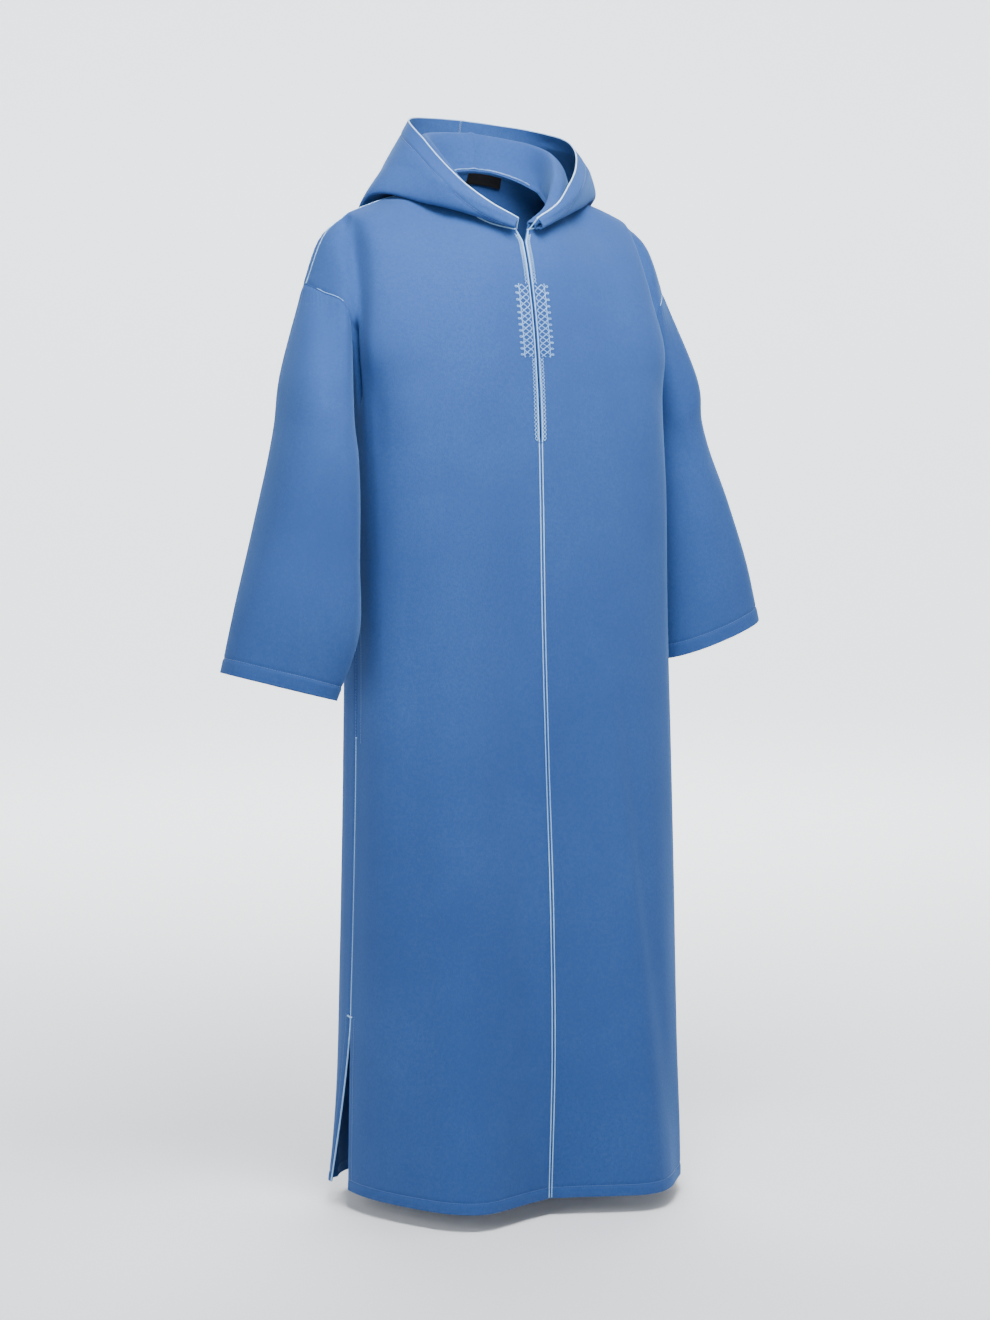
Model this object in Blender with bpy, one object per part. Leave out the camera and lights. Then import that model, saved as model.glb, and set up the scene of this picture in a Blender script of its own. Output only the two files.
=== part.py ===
# Hooded djellaba robe, filled out as worn with no wearer
# Metres, +Z up, front towards -Y, wearer's left towards +X
# Origin at the base of the neck, midway between the shoulder points

import bpy
import bmesh
import math
import numpy as np

# Driving sizes
CLOTH = 0.0018          # wall of the felted cloth
SEAM_GAP = 0.0003       # between two pieces at a seam
LIFT = 0.0004           # between a panel and what is sewn on it
TRIM = 0.0012           # thickness of braids and cords
NECK_OPEN = 0.008       # half width of the V at the top of the neck slit
SLIT_OPEN = 0.0008      # half width of the neck slit below the V
NECK_OPEN_END = 0.035   # depth where the V closes
SLIT_END = 0.358        # depth of the tack that ends the neck slit
SIDE_SLIT_TOP = 1.155   # depth where the side slits start
HEM_DEPTH = 1.395       # depth of the hem
UNDERARM = 0.285        # depth of the underarm point

# Mesh density
NECK_FRONT_STEPS = 7
NECK_BACK_STEPS = 5
SHOULDER_STEPS = 8
ARMHOLE_STEPS = 10
SLEEVE_STEPS = 12

# Half of the front above the underarm, as x, y, z for the columns centre, collar, collar side, neck point,
# yoke, crest, crease, arm and armhole
FRONT_ROWS = {
    "top": [(0.010, -0.085, -0.062), (0.045, -0.070, -0.052), (0.070, -0.035, -0.030), (0.080, 0.020, -0.002),
            (0.145, 0.030, -0.012), (0.205, 0.030, -0.033), (0.222, 0.030, -0.043), (0.253, 0.030, -0.072),
            (0.279, 0.030, -0.138)],
    "shoulder": [(0.004, -0.094, -0.085), (0.045, -0.088, -0.074), (0.078, -0.062, -0.054),
                 (0.100, -0.014, -0.022), (0.150, -0.012, -0.026), (0.203, -0.008, -0.046),
                 (0.220, 0.009, -0.057), (0.251, 0.010, -0.081), (0.276, 0.012, -0.143)],
    "yoke": [(0.001, -0.105, -0.115), (0.045, -0.104, -0.107), (0.085, -0.092, -0.098), (0.125, -0.070, -0.088),
             (0.168, -0.058, -0.085), (0.206, -0.042, -0.087), (0.221, -0.008, -0.091), (0.246, -0.014, -0.109),
             (0.268, -0.006, -0.151)],
    "chest": [(0.001, -0.122, -0.180), (0.050, -0.122, -0.178), (0.100, -0.116, -0.172), (0.150, -0.102, -0.168),
              (0.190, -0.090, -0.165), (0.217, -0.070, -0.165), (0.225, -0.042, -0.167), (0.235, -0.036, -0.169),
              (0.246, -0.038, -0.171)],
    "armhole": [(0.000, -0.133, -0.245), (0.055, -0.134, -0.245), (0.108, -0.130, -0.243),
                (0.158, -0.121, -0.239), (0.202, -0.108, -0.237), (0.227, -0.086, -0.236),
                (0.230, -0.062, -0.236), (0.231, -0.044, -0.237), (0.233, -0.026, -0.238)],
}
FRONT_DEPTHS = {"top": 0.0, "shoulder": 0.045, "yoke": 0.10, "chest": 0.17, "armhole": 0.24}

# Half of the back above the underarm, for the same columns
BACK_ROWS = {
    "top": [(0.000, 0.075, 0.030), (0.030, 0.071, 0.027), (0.060, 0.052, 0.015), (0.080, 0.020, -0.002),
            (0.145, 0.030, -0.012), (0.205, 0.030, -0.033), (0.222, 0.030, -0.043), (0.253, 0.030, -0.072),
            (0.279, 0.030, -0.138)],
    "shoulder": [(0.000, 0.092, 0.000), (0.034, 0.091, -0.003), (0.070, 0.084, -0.012), (0.104, 0.070, -0.022),
                 (0.150, 0.070, -0.028), (0.207, 0.062, -0.048), (0.223, 0.050, -0.058), (0.253, 0.047, -0.080),
                 (0.276, 0.046, -0.142)],
    "yoke": [(0.000, 0.110, -0.075), (0.042, 0.110, -0.076), (0.084, 0.107, -0.078), (0.125, 0.101, -0.080),
             (0.170, 0.094, -0.084), (0.212, 0.082, -0.090), (0.228, 0.064, -0.094), (0.253, 0.064, -0.112),
             (0.269, 0.060, -0.150)],
    "chest": [(0.000, 0.120, -0.170), (0.050, 0.121, -0.170), (0.100, 0.119, -0.169), (0.150, 0.114, -0.168),
              (0.196, 0.105, -0.167), (0.226, 0.088, -0.167), (0.234, 0.070, -0.168), (0.241, 0.065, -0.169),
              (0.249, 0.065, -0.171)],
    "armhole": [(0.000, 0.116, -0.240), (0.055, 0.118, -0.240), (0.108, 0.116, -0.240), (0.160, 0.110, -0.240),
                (0.205, 0.100, -0.238), (0.231, 0.082, -0.236), (0.233, 0.060, -0.236), (0.233, 0.044, -0.237),
                (0.233, 0.028, -0.238)],
}

# Rings of the body from the underarm to the hem
RINGS = [
    # depth, right half width, left half width, side seam y, centre front y, centre back y, front bulge, squareness
    (UNDERARM, 0.231, 0.236, 0.000, -0.138, 0.112, 0.000, 3.6),
    (0.430, 0.230, 0.237, -0.018, -0.146, 0.102, 0.000, 3.4),
    (0.600, 0.228, 0.238, -0.028, -0.152, 0.094, 0.000, 3.1),
    (0.800, 0.229, 0.242, -0.030, -0.164, 0.100, 0.004, 2.9),
    (1.000, 0.230, 0.247, -0.024, -0.178, 0.112, 0.014, 2.7),
    (1.200, 0.231, 0.254, -0.014, -0.182, 0.130, 0.032, 2.5),
    (HEM_DEPTH, 0.230, 0.264, -0.004, -0.171, 0.150, 0.056, 2.35),
]
COLUMN_ANGLES = (0, 14, 27, 40, 54, 66, 74, 82, 90)
BULGE_SHARE = (0.0, 0.55, 1.0, 0.90, 0.48, 0.20, 0.08, 0.02, 0.0)
SLIT_BACK_SHIFT = (0.004, 0.050)    # how far the back corner of the side slit stands out and back at the hem

# Rings of the sleeves, centre x, y, z, half width, half depth, tilt in degrees. The right arm hangs a
# little forward, and the left arm a little back and higher
SLEEVE_RINGS = {
    -1: {
        "upper": (0.285, -0.026, -0.290, 0.042, 0.072, 40),
        "biceps": (0.295, -0.046, -0.360, 0.051, 0.076, 26),
        "elbow": (0.312, -0.050, -0.500, 0.069, 0.078, 18),
        "forearm": (0.328, -0.058, -0.600, 0.083, 0.070, 16),
        "cuff": (0.353, -0.054, -0.689, 0.079, 0.056, 15),
    },
    1: {
        "upper": (0.286, 0.028, -0.290, 0.039, 0.068, 40),
        "biceps": (0.293, 0.034, -0.350, 0.045, 0.072, 27),
        "elbow": (0.314, 0.016, -0.475, 0.063, 0.072, 20),
        "forearm": (0.329, 0.002, -0.565, 0.073, 0.066, 19),
        "cuff": (0.338, -0.010, -0.648, 0.080, 0.056, 19),
    },
}
SLEEVE_ALONG = {"seam": 0.0, "upper": 0.16, "biceps": 0.34, "elbow": 0.64, "forearm": 0.83, "cuff": 1.0}
SLEEVE_POWER = 2.3

# Half of the hood, for the columns centre front, front, front side, neck point, back side, back and centre back
HOOD_ROWS = {
    "rise": [(0.010, -0.084, -0.057), (0.045, -0.067, -0.040), (0.071, -0.033, -0.012), (0.083, 0.020, 0.018),
             (0.074, 0.058, 0.034), (0.040, 0.080, 0.046), (0.000, 0.086, 0.052)],
    "roll": [(0.010, -0.084, -0.052), (0.047, -0.068, -0.026), (0.077, -0.031, 0.016), (0.094, 0.022, 0.056),
             (0.086, 0.068, 0.074), (0.050, 0.093, 0.082), (0.000, 0.101, 0.086)],
    "turn": [(0.014, -0.089, -0.052), (0.052, -0.076, -0.028), (0.086, -0.035, 0.012), (0.106, 0.024, 0.050),
             (0.096, 0.080, 0.066), (0.056, 0.105, 0.074), (0.000, 0.113, 0.078)],
    "fall": [(0.016, -0.093, -0.056), (0.058, -0.076, -0.036), (0.096, -0.034, -0.012), (0.130, 0.028, 0.008),
             (0.114, 0.098, -0.004), (0.062, 0.122, -0.020), (0.000, 0.130, -0.030)],
    "pouch front": [(0.018, -0.097, -0.061), (0.062, -0.068, -0.044), (0.108, -0.024, -0.023),
                    (0.166, 0.042, -0.011), (0.142, 0.124, -0.082), (0.070, 0.138, -0.180), (0.000, 0.140, -0.224)],
    "pouch": [(0.021, -0.104, -0.060), (0.068, -0.077, -0.043), (0.119, -0.032, -0.026), (0.178, 0.042, -0.012),
              (0.154, 0.136, -0.094), (0.075, 0.158, -0.198), (0.000, 0.160, -0.240)],
    "outer": [(0.019, -0.106, -0.053), (0.068, -0.086, -0.028), (0.121, -0.042, 0.004), (0.162, 0.036, 0.036),
              (0.144, 0.130, 0.002), (0.074, 0.164, -0.060), (0.000, 0.170, -0.090)],
    "face edge": [(0.015, -0.103, -0.048), (0.060, -0.086, -0.020), (0.106, -0.037, 0.030), (0.128, 0.032, 0.078),
                  (0.102, 0.100, 0.098), (0.055, 0.128, 0.105), (0.000, 0.138, 0.108)],
}
# How far the hood's right side is drawn in, which the left side isn't
HOOD_RIGHT_IN = {
    "outer": (0.0, 0.0, 0.004, 0.014, 0.020, 0.010, 0.0),
    "face edge": (0.0, 0.0, 0.002, 0.006, 0.008, 0.003, 0.0),
}
HOOD_ALONG = {"seam": 0.0, "rise": 0.09, "roll": 0.19, "turn": 0.24, "fall": 0.38, "pouch front": 0.58,
              "pouch": 0.64, "outer": 0.80, "face edge": 1.0}
HOOD_STEPS = (2, 2, 2, 2, 3, 2, 3, 3)     # steps between the named rows
HOOD_SHIFT = 0.010      # the hood lies a little to the wearer's left
HOOD_LEAN = 0.060       # and its left side lies lower, as rise for each metre across

# Trims, measured across the panel from its edge
BRAID = (0.0006, 0.0036)            # cord down the centre front
SLIT_EDGE = (0.0006, 0.0062)        # narrow worked braid beside the neck slit
SLIT_EDGE_TOP = 0.048
WORKED_PANEL = (0.0072, 0.0200)     # wide worked braid beside the neck slit
WORKED_TOP = 0.130
WORKED_BOTTOM = 0.236
LOOPS = 12
LOOP_REACH = 0.0040                 # how far each loop stands out of the panel's side
LOOP_POINTS = 4
CORD = 0.0030                       # cord on the hood's face edge and the side slits
SHOULDER_CORD = 0.0016              # half width of the cord on the shoulder seam
LABEL_ROWS = (0.20, 1.25)           # rows of the back that the neck label covers
LABEL_COLUMNS = (-0.35, 2.35)       # and its columns, from the centre back to the left

COLOURS = {
    "cloth": (0.09, 0.22, 0.48),
    "braid": (0.55, 0.74, 0.90),
    "label": (0.01, 0.01, 0.012),
}


def clear_scene():
    for old in list(bpy.data.objects):
        bpy.data.objects.remove(old, do_unlink=True)


def make_material(name, colour, roughness):
    material = bpy.data.materials.new(name)
    material.use_nodes = True
    shader = material.node_tree.nodes["Principled BSDF"]
    shader.inputs["Base Color"].default_value = (*colour, 1.0)
    shader.inputs["Roughness"].default_value = roughness
    shader.inputs["Metallic"].default_value = 0.0
    return material


# A smooth curve through values at uneven knots, read at the places asked for
def smooth(knots, values, places):
    knots = np.asarray(knots, dtype=float)
    values = np.asarray(values, dtype=float)
    steps = np.diff(knots)
    shape = (-1,) + (1,) * (values.ndim - 1)
    slopes = np.diff(values, axis=0) / steps.reshape(shape)
    tangents = np.empty_like(values)
    tangents[0] = slopes[0]
    tangents[-1] = slopes[-1]
    before = steps[:-1].reshape(shape)
    after = steps[1:].reshape(shape)
    tangents[1:-1] = (slopes[:-1] * after + slopes[1:] * before) / (before + after)
    places = np.asarray(places, dtype=float)
    index = np.clip(np.searchsorted(knots, places, side="right") - 1, 0, len(steps) - 1)
    width = steps[index].reshape(shape)
    t = ((places - knots[index]) / steps[index]).reshape(shape)
    start = values[index] * (2 * t ** 3 - 3 * t ** 2 + 1) + tangents[index] * width * (t ** 3 - 2 * t ** 2 + t)
    end = values[index + 1] * (3 * t ** 2 - 2 * t ** 3) + tangents[index + 1] * width * (t ** 3 - t ** 2)
    return start + end


# Where the columns of a body panel run between its named columns
def panel_columns(neck_steps):
    neck = np.linspace(0, 3, neck_steps + 1)
    shoulder = np.linspace(3, 8, SHOULDER_STEPS + 1)
    return np.concatenate([neck, shoulder[1:]])


# The depths of a panel's rows, close together round the shoulder and armhole
def row_depths():
    upper = UNDERARM * np.linspace(0, 1, ARMHOLE_STEPS + 1) ** 1.15
    middle = np.linspace(UNDERARM, SIDE_SLIT_TOP, 16)
    lower = np.linspace(SIDE_SLIT_TOP, HEM_DEPTH, 6)
    return np.concatenate([upper, middle[1:], lower[1:]])


# A named row of a ring below the underarm, as a rounded square quarter
def ring_row(ring, side, front):
    depth, right, left, seam_y, front_y, back_y, bulge, power = ring
    half = right if side < 0 else left
    reach = (front_y if front else back_y) - seam_y
    row = []
    for degrees, share in zip(COLUMN_ANGLES, BULGE_SHARE):
        angle = math.radians(degrees)
        across = half * math.sin(angle) ** (2 / power)
        ahead = seam_y + reach * max(math.cos(angle), 0.0) ** (2 / power)
        if front:
            ahead -= bulge * share
        row.append((across, ahead, -depth))
    return row


# The outer surface of half a front or half the back, as a grid of points
def half_panel(side, front):
    table = FRONT_ROWS if front else BACK_ROWS
    names = list(FRONT_DEPTHS)
    net = [table[name] for name in names]
    depths = [FRONT_DEPTHS[name] for name in names]
    for ring in RINGS:
        net.append(ring_row(ring, side, front))
        depths.append(ring[0])
    places = panel_columns(NECK_FRONT_STEPS if front else NECK_BACK_STEPS)
    index = np.arange(9)
    rows = []
    for number, row in enumerate(net):
        row = np.array(row)
        if number == 0:
            neck = smooth(index[:4], row[:4], places[places <= 3])
            ridge = smooth(index[3:], row[3:], places[places > 3])
            rows.append(np.concatenate([neck, ridge]))
        else:
            rows.append(smooth(index, row, places))
    wanted = row_depths()
    grid = smooth(depths, np.array(rows), wanted)
    if front:
        open_share = np.clip(1 - wanted / NECK_OPEN_END, 0, 1)
        grid[:, 0, 0] = np.where(wanted < SLIT_END, SLIT_OPEN + (NECK_OPEN - SLIT_OPEN) * open_share, 0.0)
    else:
        below = np.clip((wanted - SIDE_SLIT_TOP) / (HEM_DEPTH - SIDE_SLIT_TOP), 0, 1) ** 1.4
        spread = np.clip((places - 5) / 3, 0, 1)
        grid[:, :, 0] += SLIT_BACK_SHIFT[0] * below[:, None] * spread[None, :]
        grid[:, :, 1] += SLIT_BACK_SHIFT[1] * below[:, None] * spread[None, :]
    grid[:, :, 0] *= side
    return grid


# The front and the back run down one line from the underarm to the top of the side slit
def share_side_seam(front, back):
    slit_row = ARMHOLE_STEPS + 15
    seam = (front[ARMHOLE_STEPS:slit_row + 1, -1] + back[ARMHOLE_STEPS:slit_row + 1, -1]) / 2
    front[ARMHOLE_STEPS:slit_row + 1, -1] = seam
    back[ARMHOLE_STEPS:slit_row + 1, -1] = seam


# The armhole loop is the outer edge of the front and back halves above the underarm
def sleeve_grid(side, front, back):
    down = front[:ARMHOLE_STEPS + 1, -1]
    up = back[:ARMHOLE_STEPS + 1, -1][::-1]
    loop = np.concatenate([down, up[1:-1]])
    count = len(loop)
    rings = [loop]
    along = [SLEEVE_ALONG["seam"]]
    for name, (x, y, z, half_width, half_depth, tilt) in SLEEVE_RINGS[side].items():
        share = SLEEVE_ALONG[name]
        slope = math.tan(math.radians(tilt))
        ring = []
        for step in range(count):
            angle = 2 * math.pi * step / count
            across = math.copysign(abs(math.cos(angle)) ** (2 / SLEEVE_POWER), math.cos(angle)) * half_width
            ahead = -math.copysign(abs(math.sin(angle)) ** (2 / SLEEVE_POWER), math.sin(angle)) * half_depth
            height = z + across * slope
            ring.append((side * (x + across), y + ahead, height))
        rings.append(np.array(ring))
        along.append(share)
    wanted = np.linspace(0, 1, SLEEVE_STEPS + 1) ** 1.15
    return smooth(along, np.array(rings), wanted)


# Half of the hood, from its seam round the neck over the roll, into the pouch and up to the face edge
def hood_grid(side, front, back):
    neck = np.concatenate([front[0, :NECK_FRONT_STEPS + 1], back[0, :NECK_BACK_STEPS][::-1]])
    places = np.concatenate([np.linspace(0, 3, NECK_FRONT_STEPS + 1), np.linspace(3, 6, NECK_BACK_STEPS + 1)[1:]])
    rows = [neck]
    along = [HOOD_ALONG["seam"]]
    for name, row in HOOD_ROWS.items():
        knots = np.array(row)
        if side < 0 and name in HOOD_RIGHT_IN:
            knots[:, 0] -= HOOD_RIGHT_IN[name]
        points = smooth(np.arange(7), knots, places)
        points[:, 0] *= side
        high = np.clip(points[:, 2] / 0.06, 0, 1)
        points[:, 2] -= HOOD_LEAN * points[:, 0] * high
        points[:, 0] += HOOD_SHIFT * high * np.linspace(0, 1, len(places)) ** 0.5
        rows.append(points)
        along.append(HOOD_ALONG[name])
    wanted = [0.0]
    for start, end, steps in zip(along, along[1:], HOOD_STEPS):
        wanted.extend(np.linspace(start, end, steps + 1)[1:])
    grid = smooth(along, np.array(rows), wanted)
    grid[0] = neck
    return grid


def place_key(point):
    return tuple(int(round(value * 1e5)) for value in point)


# Adds each quad's normal to its four corners, so that panels that meet share one normal at the seam
def gather_normals(grid, flip, closed, store):
    rows, columns = grid.shape[:2]
    last = columns if closed else columns - 1
    for i in range(rows - 1):
        for j in range(last):
            k = (j + 1) % columns
            a, b, c, d = grid[i, j], grid[i, k], grid[i + 1, k], grid[i + 1, j]
            normal = np.cross(c - a, d - b)
            if flip:
                normal = -normal
            for corner in (a, b, c, d):
                key = place_key(corner)
                store[key] = store.get(key, 0) + normal


# Body, sleeves and hood each count once where they meet, however large their faces are there
def shared_normals(panels):
    total = {}
    for group in ("front back", "sleeve", "hood"):
        store = {}
        for name, (grid, flip, closed, seams) in panels.items():
            if name.split("_")[0] in group.split():
                gather_normals(grid, flip, closed, store)
        for key, normal in store.items():
            total[key] = total.get(key, 0) + normal / np.linalg.norm(normal)
    return total


def read_normals(grid, store):
    normals = np.empty_like(grid)
    for i in range(grid.shape[0]):
        for j in range(grid.shape[1]):
            normal = store[place_key(grid[i, j])]
            normals[i, j] = normal / np.linalg.norm(normal)
    return normals


# Draws the edges of a wall back from its seams by half the gap
def draw_back(grid, sides):
    moved = grid.copy()
    half = SEAM_GAP / 2
    pairs = {"top": (0, 1, 0), "bottom": (-1, -2, 0), "start": (0, 1, 1), "end": (-1, -2, 1)}
    for name in sides:
        edge, inner, axis = pairs[name]
        border = np.take(moved, edge, axis=axis)
        inside = np.take(moved, inner, axis=axis)
        way = inside - border
        way = way / np.linalg.norm(way, axis=-1, keepdims=True)
        if axis == 0:
            moved[edge] = border + way * half
        else:
            moved[:, edge] = border + way * half
    return moved


# A closed wall between an outer and an inner grid of points
def make_wall(name, outer, inner, material, closed=False):
    rows, columns = outer.shape[:2]
    mesh = bpy.data.meshes.new(name)
    work = bmesh.new()
    skins = []
    for grid in (outer, inner):
        skins.append([[work.verts.new(grid[i, j]) for j in range(columns)] for i in range(rows)])
    last = columns if closed else columns - 1
    for j in range(last):
        k = (j + 1) % columns
        for i in range(rows - 1):
            for skin in skins:
                work.faces.new((skin[i][j], skin[i][k], skin[i + 1][k], skin[i + 1][j]))
        for i in (0, rows - 1):
            work.faces.new((skins[0][i][j], skins[1][i][j], skins[1][i][k], skins[0][i][k]))
    if not closed:
        for j in (0, columns - 1):
            for i in range(rows - 1):
                work.faces.new((skins[0][i][j], skins[1][i][j], skins[1][i + 1][j], skins[0][i + 1][j]))
    bmesh.ops.recalc_face_normals(work, faces=work.faces)
    if work.calc_volume(signed=True) < 0:
        bmesh.ops.reverse_faces(work, faces=work.faces)
    work.to_mesh(mesh)
    work.free()
    mesh.shade_smooth()
    mesh.set_sharp_from_angle(angle=math.radians(50))
    mesh.materials.append(material)
    return bpy.data.objects.new(name, mesh)


# A point between the points of a grid
def read_between(grid, i, j):
    low_i = min(int(i), grid.shape[0] - 2)
    low_j = min(int(j), grid.shape[1] - 2)
    u = i - low_i
    v = j - low_j
    top = grid[low_i, low_j] * (1 - v) + grid[low_i, low_j + 1] * v
    bottom = grid[low_i + 1, low_j] * (1 - v) + grid[low_i + 1, low_j + 1] * v
    return top * (1 - u) + bottom * u


# The column that lies a real distance in from the first column, or from the last one
def column_at(grid, i, distance, last=False):
    order = range(grid.shape[1] - 1, 0, -1) if last else range(grid.shape[1] - 1)
    left = distance
    for j in order:
        k = j - 1 if last else j + 1
        step = np.linalg.norm(read_between(grid, i, k) - read_between(grid, i, j))
        if left <= step:
            return j + (k - j) * left / step
        left -= step
    return float(order[-1])


def row_at(depth):
    depths = row_depths()
    return float(np.interp(depth, depths, np.arange(len(depths))))


# The grid rows between two depths, with both ends
def rows_between(top, bottom):
    first = row_at(top)
    last = row_at(bottom)
    inner = [float(i) for i in range(math.ceil(first + 0.05), math.floor(last - 0.05) + 1)]
    return [first] + inner + [last]


# A strip sewn on a panel, made from the panel's points moved out
def sewn_strip(name, panel, rows, near, far, material, last=False):
    grid, normals = panel
    outer = []
    inner = []
    for row, reach in zip(rows, far):
        base = []
        top = []
        for distance in (near, reach):
            j = column_at(grid, row, distance, last)
            point = read_between(grid, row, j)
            out = read_between(normals, row, j)
            base.append(point + out * LIFT)
            top.append(point + out * (LIFT + TRIM))
        inner.append(base)
        outer.append(top)
    return make_wall(name, np.array(outer), np.array(inner), material)


# The centre front cord, the slit's narrow braid and its looped panel
def front_trims(word, panel, material):
    cord_rows = rows_between(SLIT_END + 0.004, HEM_DEPTH)
    edge_rows = rows_between(SLIT_EDGE_TOP, SLIT_END)
    count = LOOPS * LOOP_POINTS
    panel_rows = np.linspace(row_at(WORKED_TOP), row_at(WORKED_BOTTOM), count + 1)
    loops = [WORKED_PANEL[1] + LOOP_REACH * abs(math.sin(math.pi * step / LOOP_POINTS)) for step in range(count + 1)]
    return [
        sewn_strip("braid_front_" + word, panel, cord_rows, BRAID[0], [BRAID[1]] * len(cord_rows), material),
        sewn_strip("slit_edge_" + word, panel, edge_rows, SLIT_EDGE[0], [SLIT_EDGE[1]] * len(edge_rows), material),
        sewn_strip("worked_panel_" + word, panel, panel_rows, WORKED_PANEL[0], loops, material),
    ]


# The cord on the hood's face edge, just beyond the cloth
def hood_cord(name, panel, material):
    grid, normals = panel
    way = grid[-1] - grid[-2]
    way = way / np.linalg.norm(way, axis=1, keepdims=True)
    near = grid[-1] + way * SEAM_GAP
    far = grid[-1] + way * (SEAM_GAP + CORD)
    outer = draw_back(np.array([near, far]), ("end",))
    inner = draw_back(np.array([near, far]) - normals[-1] * CLOTH, ("end",))
    return make_wall(name, outer, inner, material)


# The cord that lies over the shoulder seam, from beside the hood to the armhole
def shoulder_cord(name, front, back, material):
    first = NECK_FRONT_STEPS + 5
    rows = []
    ways = []
    for (grid, normals), shift in ((front, 1), (front, 0), (back, 1)):
        neck = NECK_FRONT_STEPS if grid is front[0] else NECK_BACK_STEPS
        column = neck + first - NECK_FRONT_STEPS
        edge = grid[0, column:]
        way = grid[1, column:] - edge
        way = way / np.linalg.norm(way, axis=1, keepdims=True)
        rows.append(edge + way * SHOULDER_CORD * shift)
        ways.append(normals[0, column:])
    base = np.array(rows) + np.array(ways) * LIFT
    top = np.array(rows) + np.array(ways) * (LIFT + TRIM)
    return make_wall(name, draw_back(top, ("end",)), draw_back(base, ("end",)), material)


# The woven label inside the back of the neck
def neck_label(panel, material):
    grid, normals = panel
    centre = NECK_BACK_STEPS + SHOULDER_STEPS
    outer = []
    inner = []
    for row in np.linspace(*LABEL_ROWS, 3):
        columns = centre + np.linspace(*LABEL_COLUMNS, 4)
        points = np.array([read_between(grid, row, j) for j in columns])
        out = np.array([read_between(normals, row, j) for j in columns])
        outer.append(points - out * (CLOTH + LIFT))
        inner.append(points - out * (CLOTH + LIFT + TRIM / 2))
    return make_wall("neck_label", np.array(outer), np.array(inner), material)


# Joins the two halves of the back into one panel
def join_halves(right, left):
    return np.concatenate([right[:, ::-1], left[:, 1:]], axis=1)


def main():
    clear_scene()
    collection = bpy.data.collections.new("Djellaba robe")
    bpy.context.scene.collection.children.link(collection)
    cloth = {name: make_material(name, COLOURS["cloth"], 0.9) for name in
             ("front_right", "front_left", "back", "sleeve_right", "sleeve_left", "hood_right", "hood_left")}
    fronts = {side: half_panel(side, True) for side in (-1, 1)}
    backs = {side: half_panel(side, False) for side in (-1, 1)}
    for side in (-1, 1):
        share_side_seam(fronts[side], backs[side])
    panels = {
        "front_right": (fronts[-1], False, False, ("top", "start", "end")),
        "front_left": (fronts[1], True, False, ("top", "start", "end")),
        "back": (join_halves(backs[-1], backs[1]), False, False, ("top", "start", "end")),
    }
    for side, word in ((-1, "right"), (1, "left")):
        sleeve = sleeve_grid(side, fronts[side], backs[side])
        panels["sleeve_" + word] = (sleeve, side < 0, True, ("top",))
        hood = hood_grid(side, fronts[side], backs[side])
        panels["hood_" + word] = (hood, side < 0, False, ("top", "end"))
    store = shared_normals(panels)
    made = {}
    for name, (grid, flip, closed, seams) in panels.items():
        normals = read_normals(grid, store)
        made[name] = (grid, normals)
        outer = draw_back(grid, seams)
        inner = draw_back(grid - CLOTH * normals, seams)
        collection.objects.link(make_wall(name, outer, inner, cloth[name], closed))
    braid = make_material("braid", COLOURS["braid"], 0.5)
    label = make_material("label", COLOURS["label"], 0.6)
    trims = [neck_label(made["back"], label)]
    for side, word in ((-1, "right"), (1, "left")):
        front = made["front_" + word]
        half_back = (backs[side], read_normals(backs[side], store))
        trims.extend(front_trims(word, front, braid))
        trims.append(hood_cord("hood_edge_" + word, made["hood_" + word], braid))
        trims.append(shoulder_cord("shoulder_cord_" + word, front, half_back, braid))
        slit_rows = rows_between(SIDE_SLIT_TOP + 0.002, HEM_DEPTH)
        trims.append(sewn_strip("side_edge_" + word, half_back, slit_rows, 0.0006, [CORD] * len(slit_rows),
                                braid, last=True))
    for trim in trims:
        collection.objects.link(trim)


main()
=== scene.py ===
# Hooded djellaba robe: the finish, the sewing and the soft folds, on the robe's own cut
import bpy
import bmesh
import math
import numpy as np
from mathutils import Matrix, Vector
from numpy.linalg import norm


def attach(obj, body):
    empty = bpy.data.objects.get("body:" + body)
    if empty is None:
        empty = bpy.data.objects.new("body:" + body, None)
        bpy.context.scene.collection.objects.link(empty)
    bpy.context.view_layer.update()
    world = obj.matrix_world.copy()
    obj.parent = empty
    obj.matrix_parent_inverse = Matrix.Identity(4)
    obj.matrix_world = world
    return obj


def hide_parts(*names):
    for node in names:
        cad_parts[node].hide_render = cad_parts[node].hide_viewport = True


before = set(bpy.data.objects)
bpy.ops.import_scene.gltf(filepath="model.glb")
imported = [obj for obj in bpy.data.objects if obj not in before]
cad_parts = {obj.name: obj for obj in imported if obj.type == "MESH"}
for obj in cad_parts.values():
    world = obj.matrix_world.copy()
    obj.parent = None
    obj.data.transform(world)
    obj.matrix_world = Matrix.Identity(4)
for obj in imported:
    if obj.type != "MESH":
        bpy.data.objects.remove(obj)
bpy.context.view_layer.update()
print("frame loaded,", len(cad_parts), "nodes")

# The cut, in metres, as it is in the solids. Its steps are columns and rows of quads
robe = {
    "clothThickness": 0.0018,
    "seamGap": 0.0003,
    "neckOpen": 0.008,        # half width of the V at the top of the slit
    "neckOpenEnd": 0.035,
    "slitOpen": 0.0008,
    "slitEnd": 0.358,
    "sideSlitTop": 1.155,
    "neckFrontSteps": 28,
    "neckBackSteps": 20,
    "shoulderSteps": 60,
    "armholeSteps": 60,
    "middleSteps": 90,
    "slitSteps": 30,
    "sleeveSteps": 84,
    "fineEdge": 0.026,        # where the hem and cuff rows lie close together
    "edgeSteps": 16,
    "hoodDensity": 5,
    "rowCrowding": 1.15,      # above 1, rows lie closer together at the top
    "cuffRowsFrom": 0.94,     # share of a sleeve's length where its cuff rows begin
}

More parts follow.
